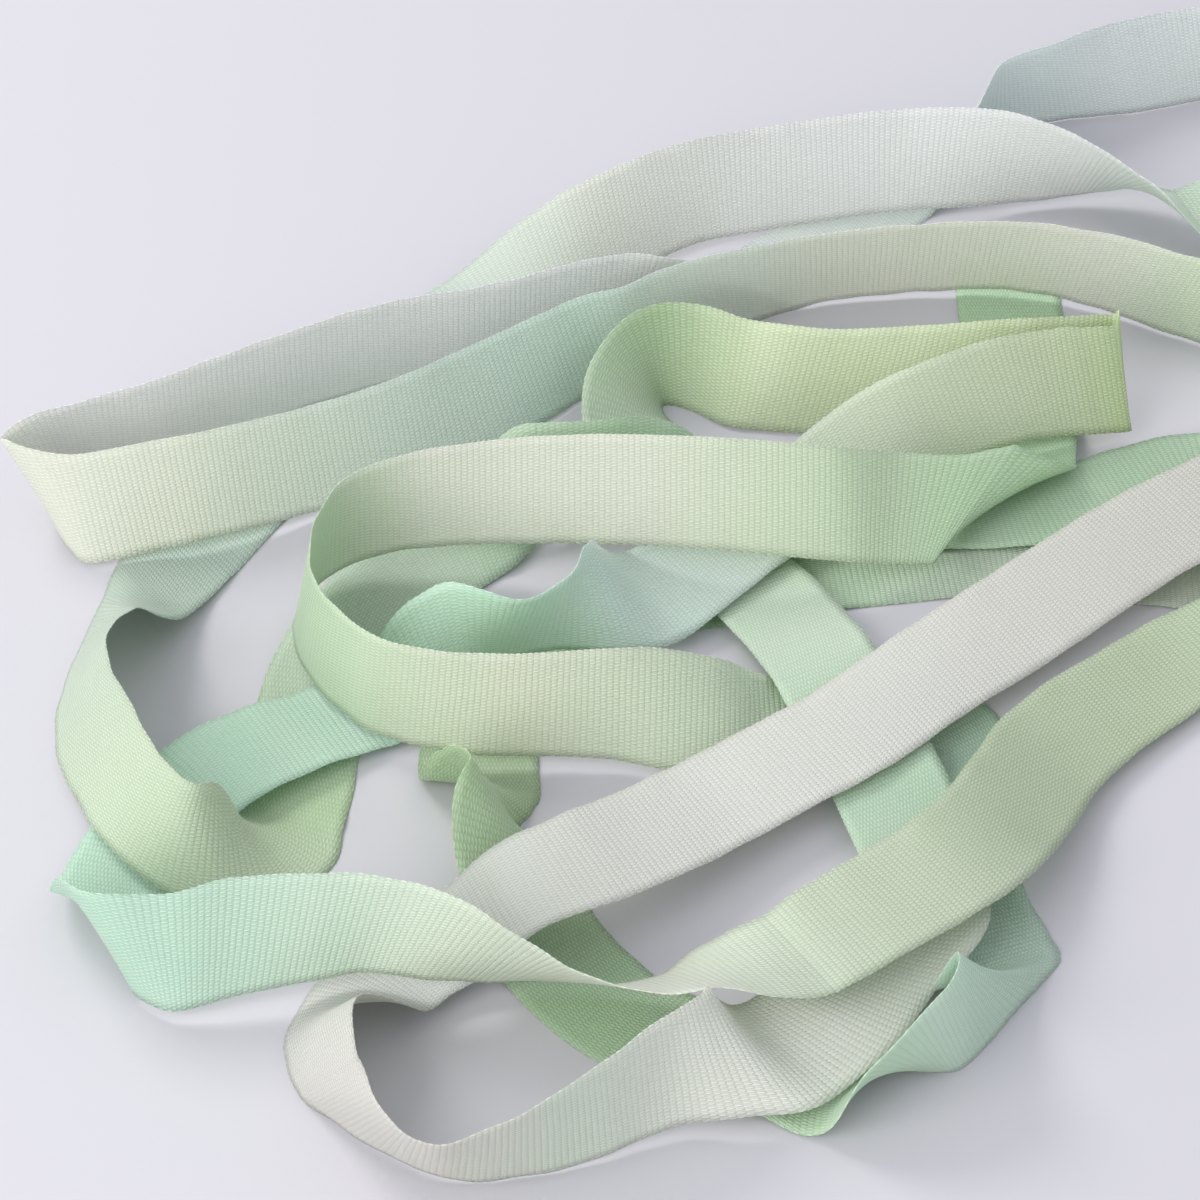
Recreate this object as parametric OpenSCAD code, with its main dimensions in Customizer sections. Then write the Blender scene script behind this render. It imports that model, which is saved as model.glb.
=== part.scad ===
// Rhythmic ribbon wand: a long woven ribbon lying in loose loops, joined by an eyelet,
// a link ring and a swivel snap hook to a slim stick with a soft grip.
// The ribbon lies on the floor at z = 0 and the stick lies beside it, along -Y.

/* [Ribbon] */
// Width of the ribbon
ribbon_w = 40; // [34:1:48]
// Thickness of the ribbon's solid
ribbon_t = 0.5; // [0.4:0.1:0.6]
// Length of the hem folded over at the free end
hem_len = 8; // [5:1:12]
// Length of the reinforcing layer at the wand's end
tab_len = 34; // [24:1:40]
// How far the reinforcing layer stays inside each selvedge
tab_inset = 1; // [0.5:0.5:3]
// Rows of stitching on the reinforcing layer
stitch_rows = 3; // [2:1:4]
// Stitches in one row
stitches = 12; // [8:1:15]

/* [Eyelet] */
// Radius of the eyelet's hole
eyelet_hole_r = 3; // [2.8:0.1:4]
// Radius of the eyelet's flange
eyelet_flange_r = 5.5; // [5:0.1:7]
// Wall of the eyelet's barrel
eyelet_wall = 0.4; // [0.3:0.1:0.6]
// Thickness of the eyelet's flange and of its washer
eyelet_flange_t = 0.6; // [0.4:0.1:1]
// From the eyelet's centre to the ribbon's end
eyelet_margin = 10; // [8:1:13]

/* [Link ring] */
// Mean radius of the link ring
ring_r = 9.5; // [8.5:0.5:12]
// Radius of the ring's wire
ring_wire_r = 1; // [0.8:0.1:1.2]

/* [Snap hook] */
// Mean radius of the hook's nose
nose_r = 5.5; // [5:0.5:8]
// Radius of the hook's wire
hook_wire_r = 1; // [0.8:0.1:1.2]
// Space between the ring's wire and the hook's wire
link_play = 1.4; // [1:0.1:1.8]
// Length of the hook's legs, from the nose to the base
leg_len = 13; // [11:1:20]
// Height of the hook's base, across the gate's pin
base_h = 7; // [6:0.5:9]
// Radius of the gate's pin
pin_r = 0.7; // [0.6:0.1:0.9]
// Radius of the gate's knuckle
knuckle_r = 1.9; // [1.7:0.1:2.2]
// Clearance of a pin or stud that turns in its bore
running_fit = 0.05; // [0.02:0.01:0.08]
// Gap between faces that pass each other
face_gap = 0.3; // [0.2:0.1:0.5]

/* [Swivel] */
// Outer radius of the swivel's housing
housing_r = 5; // [4.5:0.1:6]
// Length of the swivel's housing
housing_len = 9; // [8:0.5:14]
// Radius of the swivel's stud
stud_r = 1.8; // [1.5:0.1:2.2]
// Radius of the stud's head
stud_head_r = 3; // [2.6:0.1:3.3]
// Thickness of the stud's head
stud_head_t = 1.6; // [1.2:0.1:2]
// Thickness of the collar that closes the housing
collar_t = 1.6; // [1.2:0.1:2]
// Thickness of the low-friction washer under the stud's head
washer_t = 0.6; // [0.4:0.1:0.8]

/* [Stick] */
// Length of the rod
rod_len = 540; // [450:5:580]
// Radius of the rod at the grip
rod_r = 4.5; // [4:0.1:5]
// Radius of the rod at its tip
rod_tip_r = 3.4; // [3:0.1:3.8]
// Length of the metal ferrule on the tip
ferrule_len = 26; // [20:1:40]
// Wall of the ferrule
ferrule_wall = 0.9; // [0.6:0.1:1.5]
// Thickness of the ferrule's end, which holds the stud
ferrule_end_t = 5; // [4:0.5:8]
// Crimped grooves in the ferrule
crimps = 3; // [1:1:4]

/* [Grip] */
// Length of the soft grip
grip_len = 190; // [150:5:230]
// Outer radius of the grip, which is also how high the stick lies
grip_r = 10.5; // [10.5:0.1:12]
// Grooves around the grip
grip_grooves = 9; // [5:1:14]
// Depth of each groove
groove_d = 0.8; // [0.4:0.1:1.2]
// Width of each groove
groove_w = 2; // [1:0.5:3]
// Length of the collar at the front of the grip
collar_len = 8; // [6:1:12]
// Length of the cap on the butt
cap_len = 14; // [10:1:20]
// Wall of the butt cap's end
cap_end_t = 4; // [3:0.5:6]

/* [Hidden] */
$fn = 64;
small_fn = 24;
steps = 2;            // rings of the sweep in each span of the route
rest_lift = 0.5;      // height of the ribbon's lower edge over its stated height
oblique_min = 0.7;    // least square share of an oblique cross-section

// The ribbon's route. Each row is the middle of the band in plan (x, y), the height of
// its lower edge over the floor, and the direction across the band as an azimuth and
// an elevation in degrees: 0 elevation lies flat and 90 stands on edge.
free_end = [
    [158, 222, 0, 0, 0], [158, 180, 0, 0, 0], [158, 140, 0, 0, 0], [157, 105, 2, 0, 0],
    [154, 78, 6, 5, 0], [150, 57, 8, 18, 0]
];
middle_loop = [
    [143, 40, 8, 38, 8], [128, 31, 7, 62, 24], [105, 25, 8, 84, 40], [80, 15, 14, 90, 58],
    [40, 13, 19, 90, 64], [0, 16, 18, 90, 68], [-40, 19, 13, 90, 78], [-70, 15, 11, 90, 86],
    [-90, 4, 10, 0, 86], [-100, -14, 9, 340, 80], [-102, -32, 8, 310, 72],
    [-97, -50, 8, 330, 78], [-85, -67, 7, 20, 84], [-70, -78, 6, 20, 83],
    [-40, -84, 5, 60, 80], [0, -82, 4, 85, 74], [35, -78, 2, 87, 40], [60, -68, 1, 90, 4],
    [84, -57, 0, 78, 0]
];
right_curl = [
    [106, -58, 0, 60, 0], [120, -76, 0, 30, 0], [124, -102, 0, 10, 0],
    [120, -126, 0, 5, -3], [117, -147, 0, 12, -2], [124, -172, 0, 25, -6],
    [125, -190, 0, 34, -14], [121, -208, 0, 42, -52], [107, -229, 0, 40, -68],
    [89, -239, 0, 55, -40], [70, -235, 0, 80, -4], [50, -224, 0, 72, -2],
    [25, -214, 0, 60, 0], [8, -204, 0, 50, 0], [-8, -186, 0, 45, 0], [-20, -166, 0, 35, -4],
    [-28, -142, 0, 15, -22], [-34, -122, 0, 8, -66], [-37, -110, 0, 5, -44],
    [-40, -97, 0, 0, -4], [-40, -76, 0, 355, 0], [-30, -50, 0, 340, 0],
    [-12, -24, 0, 310, 0], [8, -5, 0, 295, 0], [34, 4, 0, 280, 0], [65, 11, 0, 275, 0],
    [100, 17, 0, 275, 0], [140, 22, 0, 275, 0], [185, 18, 0, 268, 0], [228, 10, 0, 266, 0]
];
far_loop_front = [
    [260, 6, 0, 270, -6], [288, 12, 0, 300, -50], [305, 34, 0, 345, -85],
    [302, 60, 1, 60, -75], [284, 76, 8, 110, -30], [258, 67, 14, 124, 0]
];
pale_run = [
    [229, 43, 13, 128, 8], [190, 15, 11, 128, 10], [140, -30, 9, 126, 12],
    [113, -54, 10, 124, 8], [84, -83, 11, 124, 6], [60, -102, 12, 124, 5],
    [38, -120, 13, 122, 5], [17, -139, 17, 120, 5], [-5, -156, 21, 118, 5],
    [-25, -166, 21, 115, 0], [-42, -174, 10, 113, 0], [-57, -183, 4, 122, -3],
    [-68, -193, 1, 135, -8], [-78, -206, 0, 150, -28]
];
front_loop = [
    [-86, -222, 0, 160, -52], [-82, -247, 0, 135, -52], [-70, -267, 1, 115, -52],
    [-52, -279, 1, 100, -58], [-36, -279, 0, 100, -68], [-18, -273, 0, 90, -78],
    [0, -263, 1, 20, -86], [20, -249, 3, 300, -78], [38, -242, 6, 310, -56],
    [56, -232, 8, 325, -20], [74, -216, 13, 338, -12], [87, -196, 14, 350, -8],
    [102, -172, 14, 5, -4]
];
back_curl = [
    [104, -145, 10, 20, -3], [98, -114, 8, 28, 0], [88, -78, 7, 28, 0], [76, -42, 8, 26, 0],
    [60, -8, 5, 25, 0], [46, 16, 3, 25, 0], [31, 45, 1, 22, 0], [19, 72, 0, 20, 0],
    [12, 90, 0, 12, -20], [12, 105, 0, 0, -50], [20, 117, 0, 310, -72],
    [34, 118, 0, 265, -66], [50, 110, 1, 250, -56], [68, 104, 1, 240, -62],
    [90, 101, 1, 235, -64], [120, 99, 4, 240, -62], [150, 99, 7, 245, -60],
    [176, 102, 7, 255, -58], [189, 104, 6, 270, -60], [192, 98, 6, 290, -62],
    [180, 94, 7, 300, -64], [166, 90, 9, 300, -64], [142, 81, 11, 318, -60],
    [118, 70, 10, 310, -52], [96, 60, 9, 305, -28]
];
under_loop = [
    [74, 46, 8, 305, -8], [53, 27, 8, 308, -6], [34, 5, 8, 310, -8], [18, -13, 6, 312, -20],
    [2, -27, 4, 316, -64], [-14, -35, 3, 130, -76], [-34, -44, 3, 130, -72],
    [-54, -50, 3, 300, -50], [-72, -58, 3, 300, -6], [-92, -70, 3, 298, 3],
    [-112, -84, 7, 300, 0], [-130, -101, 8, 308, -2], [-145, -120, 4, 330, 0],
    [-153, -140, 1, 350, -3], [-156, -160, 1, 350, -12]
];
front_fold = [
    [-158, -180, 2, 320, -38], [-151, -193, 2, 325, -66], [-133, -197, 3, 280, -70],
    [-113, -194, 6, 250, -70], [-91, -193, 8, 225, -74], [-68, -194, 10, 180, -74],
    [-42, -204, 12, 150, -62], [-14, -206, 6, 120, -46], [10, -209, 5, 110, -40],
    [28, -209, 9, 115, -36], [46, -208, 21, 120, -15], [62, -203, 28, 122, 0],
    [80, -189, 28, 125, 4], [100, -171, 25, 128, 5], [116, -155, 22, 130, 8],
    [128, -138, 18, 132, 10], [139, -116, 12, 132, 12], [150, -93, 7, 130, 12],
    [166, -72, 5, 128, 10], [184, -54, 4, 125, 6], [202, -37, 4, 122, 3]
];
far_loop_middle = [
    [226, -20, 7, 130, 0], [240, 3, 9, 152, 0], [241, 34, 8, 195, 0], [234, 56, 6, 240, 0],
    [222, 68, 5, 272, 0]
];
behind_loop = [
    [205, 66, 4, 287, 0], [178, 55, 3, 287, 0], [150, 47, 2, 280, 0], [120, 46, 2, 272, 0],
    [95, 47, 3, 270, 0], [68, 48, 5, 270, 0], [45, 48, 5, 270, -8], [24, 46, 4, 270, -45],
    [2, 44, 3, 270, -75], [-20, 40, 3, 275, -62], [-42, 30, 1, 290, -22],
    [-60, 15, 0, 300, -5], [-75, -2, 0, 312, -8], [-86, -20, 0, 325, -8],
    [-94, -40, 0, 345, -2], [-98, -62, 0, 0, 0]
];
left_loop = [
    [-101, -82, 0, 355, 0], [-102, -98, 0, 345, 0], [-104, -113, 0, 338, 0],
    [-106, -128, 0, 322, -10], [-116, -143, 0, 285, -38], [-134, -147, 5, 225, -66],
    [-150, -132, 7, 185, -60], [-162, -108, 6, 180, -56], [-172, -80, 2, 165, -55],
    [-174, -54, 1, 140, -55], [-166, -24, 0, 115, -36], [-156, 4, 0, 118, -8],
    [-142, 33, 0, 125, 0], [-128, 60, 0, 130, 0], [-112, 88, 0, 130, 0],
    [-92, 118, 0, 130, 0], [-70, 148, 1, 125, 0], [-46, 170, 4, 118, 4],
    [-22, 184, 6, 112, 25], [4, 201, 4, 110, 50]
];
rear_arc = [
    [32, 219, 4, 115, 64], [58, 230, 4, 95, 58], [82, 237, 4, 95, 57],
    [107, 242, 5, 90, 57], [128, 244, 5, 80, 60], [155, 243, 4, 60, 75],
    [181, 239, 3, 300, 72], [206, 230, 6, 285, 40], [230, 216, 11, 285, 6]
];
far_loop_back = [
    [256, 203, 7, 295, -22], [282, 191, 3, 310, -50], [300, 172, 1, 335, -72],
    [300, 152, 0, 20, -80], [284, 138, 0, 100, -80], [262, 135, 1, 135, -76],
    [240, 142, 1, 138, -70]
];
long_front = [
    [216, 156, 1, 138, -68], [193, 168, 2, 128, -72], [161, 177, 3, 110, -74],
    [127, 178, 2, 95, -75], [88, 173, 1, 80, -75], [62, 164, 0, 70, -79],
    [34, 150, 0, 30, -77], [11, 133, 0, 15, -78], [-6, 122, 1, 350, -73],
    [-39, 95, 1, 315, -67], [-69, 73, 1, 300, -73], [-101, 54, 2, 300, -73],
    [-133, 38, 4, 290, -72], [-158, 30, 4, 300, -68], [-184, 26, 2, 300, -62],
    [-199, 33, 1, 325, -58]
];
long_back = [
    [-204, 47, 0, 0, -66], [-196, 61, 0, 60, -76], [-178, 69, 0, 100, -82],
    [-158, 77, 1, 100, -84], [-130, 92, 3, 100, -85], [-95, 111, 4, 100, -85],
    [-70, 123, 3, 100, -85], [-42, 134, 1, 100, -85], [0, 155, 0, 110, -82],
    [22, 166, 0, 115, -62], [44, 180, 0, 122, -32], [63, 195, 0, 130, -6],
    [82, 213, 0, 135, 0], [104, 236, 0, 135, 0], [122, 256, 0, 132, -4],
    [141, 278, 0, 116, -38], [164, 294, 0, 70, -74], [190, 305, 0, 30, -75],
    [214, 315, 0, 330, -72], [245, 326, 0, 310, -72]
];
wand_end = [
    [282, 332, 0, 60, -80], [314, 328, 0, 30, -80], [337, 312, 0, 10, -62],
    [348, 294, 1, 0, -28], [350, 276, 6, 0, -4], [350, 262, 10, 0, 0], [350, 249, 10, 0, 0],
    [350, 236, 10, 0, 0]
];
route = concat(
    free_end, middle_loop, right_curl, far_loop_front, pale_run, front_loop,
    back_curl, under_loop, front_fold, far_loop_middle, behind_loop, left_loop,
    rear_arc, far_loop_back, long_front, long_back, wand_end
);

// The whole part is placed so that its origin is under its middle.
part_shift = [-79, 9, 0];

// Sweep of the route
last = len(route) - 1;
function unit(v) = v / norm(v);
function across(row) = [cos(row[4]) * cos(row[3]), cos(row[4]) * sin(row[3]), sin(row[4])];
function knot(i) = [for (k = [0:2]) route[i][k]];
function blend(a, b, c, d, t) = 0.5 * (2 * b + (c - a) * t
    + (2 * a - 5 * b + 4 * c - d) * t * t + (3 * b - a - 3 * c + d) * t * t * t);
function before(i) = i > 0 ? knot(i - 1) : 2 * knot(0) - knot(1);
function after(i) = i < last ? knot(i + 1) : 2 * knot(last) - knot(last - 1);
function span(s) = min(floor(s), last - 1);
function point_at(s) = let (i = span(s))
    blend(before(i), knot(i), knot(i + 1), after(i + 1), s - i);
function across_before(i) = i > 0 ? across(route[i - 1]) : across(route[0]);
function across_after(i) = i < last ? across(route[i + 1]) : across(route[last]);
function across_at(s) = let (i = span(s))
    unit(blend(across_before(i), across(route[i]), across(route[i + 1]),
        across_after(i + 1), s - i));
function raised(s, w) = let (p = point_at(s), d = across_at(s))
    [p[0], p[1], max(p[2], 0) + rest_lift + w / 2 * abs(d[2])];
function heading(s, w) = unit(raised(min(s + 0.1, last), w) - raised(max(s - 0.1, 0), w));
function square_share(s) = let (d = across_at(s), t = heading(s, ribbon_w))
    max(oblique_min, norm(d - (d * t) * t));
function half_at(s) = ribbon_w / 2 / square_share(s);
function middle_at(s) = raised(s, 2 * half_at(s));
function ring_at(s, narrower, t, up) = let (d = across_at(s), f = unit(cross(heading(s, ribbon_w), d)),
    c = middle_at(s) + f * up, h = half_at(s) - narrower)
    [c + h * d + t / 2 * f, c - h * d + t / 2 * f, c - h * d - t / 2 * f, c + h * d - t / 2 * f];

// Closed band along the list of stations, made narrower and raised off the ribbon if asked
module band(stations, narrower = 0, t = ribbon_t, up = 0) {
    rings = [for (s = stations) ring_at(s, narrower, t, up)];
    n = len(rings);
    points = [for (r = rings) each r];
    // both faces of the band fold along the same diagonals, so it keeps its thickness in a twist
    sides = [for (i = [0:n - 2]) for (k = [0:3]) let (a = 4 * i + k, b = 4 * i + (k + 1) % 4)
        each k == 2 ? [[a, b, a + 4], [b, b + 4, a + 4]] : [[a, b, b + 4], [a, b + 4, a + 4]]];
    ends = [[3, 2, 1], [3, 1, 0], [4 * n - 4, 4 * n - 3, 4 * n - 2], [4 * n - 4, 4 * n - 2, 4 * n - 1]];
    polyhedron(points, concat(sides, ends));
}

// Place of the wand's pieces, measured along its axis from the eyelet towards -Y
axis_z = last_height() + rest_lift;
end_y = route[last][1];
wand_x = route[last][0];
eyelet_y = end_y + eyelet_margin;
ring_y = eyelet_y - ring_r;
ring_far = eyelet_y - 2 * ring_r;
nose_front = ring_far + ring_wire_r + link_play + hook_wire_r;
nose_y = nose_front - nose_r;
base_y = nose_y - leg_len;
over = 1;             // extra length with which one piece runs into or through another
base_floor = 1;       // solid floor of the hook's base, behind the gate's knuckle
base_len = 2 * (knuckle_r + base_floor);
pin_y = base_y - base_len / 2;
housing_y = base_y - base_len;
housing_end = housing_y - housing_len;
ferrule_y = housing_end - collar_t - face_gap;
rod_y = ferrule_y - ferrule_end_t;
rod_end = rod_y - rod_len;
grip_end = rod_end;
grip_y = grip_end + grip_len;
function last_height() = route[last][2];

// Cylinder along the wand's axis, from y0 towards -Y
module along(y0, length, r, r2 = -1, x = 0, fn = $fn)
    translate([wand_x + x, y0, axis_z])
        rotate([90, 0, 0])
            cylinder(h = length, r1 = r, r2 = r2 < 0 ? r : r2, $fn = fn);
// Upright cylinder over the wand's axis
module upright(x, y, z0, height, r, fn = $fn)
    translate([wand_x + x, y, axis_z + z0])
        cylinder(h = height, r = r, $fn = fn);

// Ribbon and what is sewn to it
first_spacing = 42;   // between the route's first rows
end_spacing = 13;     // between its last rows
sewn_gap = 0.03;      // between sewn layers, so that they touch without overlapping
tab_up = ribbon_t + sewn_gap;
tab_top = 1.5 * ribbon_t + sewn_gap;
tab_from = last - tab_len / end_spacing;
tab_stations = concat([tab_from], [for (s = [ceil(tab_from * steps) / steps:1 / steps:last]) s]);
stitch_r = 0.25;
stitch_gap = 3;
stitch_share = 0.6;   // of the pitch of the stitches that each one covers
stitch_rise = 0.12;   // keeps a straight stitch clear of the layer where that tilts
module eyelet_bore(r) upright(0, eyelet_y, -2 * ribbon_t, 5 * ribbon_t, r);
module ribbon() color("#C3D8BD") difference() {
    band([for (s = [0:1 / steps:last]) s]);
    eyelet_bore(eyelet_hole_r + eyelet_wall);
}
module free_end_hem() color("#B5D9AE")
    band([for (k = [0, 0.5, 1]) k * hem_len / first_spacing], narrower = tab_inset, up = tab_up);
module end_reinforcement() color("#CFE0C8") difference() {
    band(tab_stations, narrower = tab_inset, up = tab_up);
    eyelet_bore(eyelet_flange_r + face_gap);
}
stitch_rows_y = concat([for (row = [0:stitch_rows - 2]) end_y + (1 + row) * stitch_gap / 2],
    [eyelet_y + eyelet_flange_r + stitch_gap]);
function cloth_z(y) = middle_at(last - (y - end_y) / end_spacing)[2];
module end_stitching() color("#EDF2E4") {
    pitch = (ribbon_w - 4 * tab_inset) / stitches;
    margin = (1 - stitch_share) / 2;
    for (y = stitch_rows_y, k = [0:stitches - 1])
        translate([wand_x + (k + margin - stitches / 2) * pitch, y,
                cloth_z(y) + tab_top + stitch_r + stitch_rise])
            rotate([0, 90, 0])
                cylinder(h = stitch_share * pitch, r = stitch_r, $fn = small_fn);
}
through = 5;          // how far a cutting cylinder reaches past both faces of the cloth
eyelet_r = eyelet_hole_r + eyelet_wall;
module eyelet() color("#C9CDD2") difference() {
    union() {
        upright(0, eyelet_y, -ribbon_t / 2 - eyelet_flange_t, ribbon_t + 2 * eyelet_flange_t, eyelet_r);
        upright(0, eyelet_y, ribbon_t / 2, eyelet_flange_t, eyelet_flange_r);
    }
    upright(0, eyelet_y, -through, 2 * through, eyelet_hole_r);
}
module eyelet_washer() color("#B9BEC4") difference() {
    upright(0, eyelet_y, -ribbon_t / 2 - eyelet_flange_t, eyelet_flange_t, eyelet_flange_r);
    upright(0, eyelet_y, -through, 2 * through, eyelet_r);
}

// Link ring, in the upright plane through the wand's axis
module link_ring() color("#BFC4CA")
    translate([wand_x, ring_y, axis_z]) rotate([0, 90, 0])
        rotate_extrude() translate([ring_r, 0]) circle(r = ring_wire_r, $fn = small_fn);

// Snap hook: nose, fixed leg, base with a fork for the gate, and the swivel's housing
cavity_r = stud_head_r + face_gap;
cavity_len = washer_t + stud_head_t + face_gap;
fork_h = base_h / 3;
module snap_hook() color("#AEB4BB") difference() {
    union() {
        translate([wand_x, nose_y, axis_z])
            rotate_extrude(angle = 180) translate([nose_r, 0]) circle(r = hook_wire_r, $fn = small_fn);
        along(nose_y, leg_len + over, hook_wire_r, x = -nose_r, fn = small_fn);
        translate([wand_x - nose_r - hook_wire_r, housing_y, axis_z - base_h / 2])
            cube([2 * nose_r + hook_wire_r + knuckle_r, base_len, base_h]);
        along(housing_y, housing_len, housing_r);
    }
    translate([wand_x + nose_r - knuckle_r - face_gap, housing_y + base_floor - face_gap,
            axis_z - fork_h / 2 - face_gap])
        cube([2 * knuckle_r + 2 * face_gap + over, base_len + over, fork_h + 2 * face_gap]);
    upright(nose_r, pin_y, -base_h, 2 * base_h, pin_r, fn = small_fn);
    along(housing_end + cavity_len, cavity_len + over, cavity_r);
}
gate_top = nose_y - face_gap;
module hook_gate() color("#C4C9CE") difference() {
    union() {
        along(gate_top, gate_top - pin_y, hook_wire_r, x = nose_r, fn = small_fn);
        upright(nose_r, pin_y, -fork_h / 2, fork_h, knuckle_r, fn = small_fn);
    }
    upright(nose_r, pin_y, -base_h, 2 * base_h, pin_r + running_fit, fn = small_fn);
    upright(nose_r, pin_y, 0, fork_h, knuckle_r + face_gap, fn = small_fn);
}
// Torsion spring of the gate, wound round its pin above the knuckle
coil_wire_r = 0.12;
coil_gap = 0.5;       // from the pin to the middle of the spring's wire
coil_r = pin_r + coil_gap;
coil_turns = 2.5;
coil_steps = 16;
coil_sides = 6;
function coil_point(i, k) = let (a = 360 * i / coil_steps, b = 360 * k / coil_sides,
    r = coil_r + coil_wire_r * cos(b), rise = (fork_h / 2 - 3 * coil_wire_r) / coil_turns)
    [r * cos(a), r * sin(a), 2 * coil_wire_r + rise * i / coil_steps + coil_wire_r * sin(b)];
module gate_spring() color("#777E86") translate([wand_x + nose_r, pin_y, axis_z]) {
    n = coil_turns * coil_steps;
    points = [for (i = [0:n], k = [0:coil_sides - 1]) coil_point(i, k)];
    sides = [for (i = [0:n - 1], k = [0:coil_sides - 1])
        let (a = i * coil_sides + k, b = i * coil_sides + (k + 1) % coil_sides)
        each [[a, b + coil_sides, b], [a, a + coil_sides, b + coil_sides]]];
    first = [for (k = [1:coil_sides - 2]) [0, k, k + 1]];
    end = [for (k = [1:coil_sides - 2]) [n * coil_sides, n * coil_sides + k + 1, n * coil_sides + k]];
    polyhedron(points, concat(sides, first, end));
}
module gate_pin() color("#8E949B") upright(nose_r, pin_y, -base_h / 2, base_h, pin_r, fn = small_fn);

// Swivel: the housing is closed by a collar round the stud
module swivel_collar() color("#9CA2A9") difference() {
    along(housing_end, collar_t, housing_r);
    along(housing_end + over, collar_t + 2 * over, stud_r + running_fit);
}
module thrust_washer() color("#E8E4D8") difference() {
    along(housing_end + washer_t, washer_t - running_fit, stud_head_r);
    along(housing_end + washer_t + over, washer_t + 2 * over, stud_r + running_fit);
}
stud_embed = ferrule_end_t - over;
module swivel_stud() color("#D2D6DA") {
    along(housing_end + washer_t + stud_head_t, stud_head_t, stud_head_r);
    along(housing_end + washer_t, washer_t + collar_t + face_gap + stud_embed, stud_r);
}

// Stick
ferrule_bore_r = rod_tip_r + (rod_r - rod_tip_r) * (ferrule_len - ferrule_end_t) / rod_len;
ferrule_r = ferrule_bore_r + ferrule_wall;
bore_over = 0.01;     // the ferrule's bore runs just past its open end
crimp_w = 1.2;
crimp_d = 0.4;
module tip_ferrule() color("#B4BAC1") difference() {
    along(ferrule_y, ferrule_len, ferrule_r);
    along(ferrule_y + over, stud_embed + over, stud_r);
    along(rod_y, ferrule_len - ferrule_end_t + bore_over, rod_tip_r, ferrule_bore_r);
    for (k = [1:crimps])
        difference() {
            along(rod_y - k * (ferrule_len - ferrule_end_t) / (crimps + 1), crimp_w, ferrule_r + over);
            along(rod_y + over, ferrule_len, ferrule_r - crimp_d);
        }
}
module stick_rod() color("#F1F0EA") along(rod_y, rod_len, rod_tip_r, rod_r);
function rod_r_at(y) = rod_tip_r + (rod_r - rod_tip_r) * (rod_y - y) / rod_len;
module rod_bore(y0, y1) along(y0, y0 - y1, rod_r_at(y0), rod_r_at(y1));
collar_lip = 1.5;     // from the rod to the collar's front edge
collar_step = 0.5;    // from the collar's back edge out to the sleeve
sleeve_end = grip_end + cap_len - cap_end_t;
sleeve_y = grip_y - collar_len;
module grip_sleeve() color("#A9CDB0") difference() {
    along(sleeve_y, sleeve_y - sleeve_end, grip_r);
    rod_bore(sleeve_y, sleeve_end);
    for (k = [1:grip_grooves])
        difference() {
            along(sleeve_y - k * (sleeve_y - sleeve_end) / (grip_grooves + 1), groove_w, grip_r + over);
            along(sleeve_y + over, grip_len + 2 * over, grip_r - groove_d);
        }
}
module grip_collar() color("#DDE6CD") difference() {
    along(grip_y, collar_len, rod_r + collar_lip, grip_r - collar_step);
    rod_bore(grip_y, sleeve_y);
}
module butt_cap() color("#7FA68A") difference() {
    along(sleeve_end, cap_len, grip_r);
    rod_bore(sleeve_end, grip_end);
}

translate(part_shift) {
    ribbon();
    free_end_hem();
    end_reinforcement();
    end_stitching();
    eyelet();
    eyelet_washer();
    link_ring();
    snap_hook();
    hook_gate();
    gate_pin();
    gate_spring();
    swivel_collar();
    thrust_washer();
    swivel_stud();
    tip_ferrule();
    stick_rod();
    grip_sleeve();
    grip_collar();
    butt_cap();
}
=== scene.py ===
"""A rhythmic ribbon wand: a hand-dyed woven ribbon lying in loose loops, and the eyelet, link ring,
swivel snap hook and stick at its end. Everything is in metres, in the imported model's frame."""
import math

import bmesh
import bpy
import numpy as np
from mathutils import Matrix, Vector


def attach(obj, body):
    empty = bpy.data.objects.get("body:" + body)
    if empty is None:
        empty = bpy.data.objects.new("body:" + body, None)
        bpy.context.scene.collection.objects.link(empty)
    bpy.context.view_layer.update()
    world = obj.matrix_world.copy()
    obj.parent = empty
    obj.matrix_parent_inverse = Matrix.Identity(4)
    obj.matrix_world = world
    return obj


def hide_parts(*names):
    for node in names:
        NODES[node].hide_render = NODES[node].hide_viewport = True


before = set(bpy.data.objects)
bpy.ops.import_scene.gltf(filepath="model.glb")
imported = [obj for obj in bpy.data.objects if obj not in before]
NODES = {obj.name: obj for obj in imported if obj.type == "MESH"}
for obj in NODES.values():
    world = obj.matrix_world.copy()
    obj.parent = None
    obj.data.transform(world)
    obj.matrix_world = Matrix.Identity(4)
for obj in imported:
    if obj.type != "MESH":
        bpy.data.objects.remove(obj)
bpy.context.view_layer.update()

# The whole part's place, from the ribbon's own frame to the model's
SHIFT = np.array([-0.079, 0.009, 0.0])

# Camera: it looks down at 40 degrees from the front, at the floor under the pile's middle
CAMERA_DISTANCE = 1.4
CAMERA_ELEVATION = math.radians(40)
CAMERA_LENS = 119.3

aim = Vector(SHIFT)
back = Vector((0, -math.cos(CAMERA_ELEVATION), math.sin(CAMERA_ELEVATION)))
camera = bpy.data.objects.new("camera", bpy.data.cameras.new("camera"))
camera.location = aim + CAMERA_DISTANCE * back
camera.rotation_euler = (-back).to_track_quat("-Z", "Y").to_euler()
camera.data.lens = CAMERA_LENS
camera.data.sensor_width = 36
bpy.context.scene.collection.objects.link(camera)
bpy.context.scene.camera = camera

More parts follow.
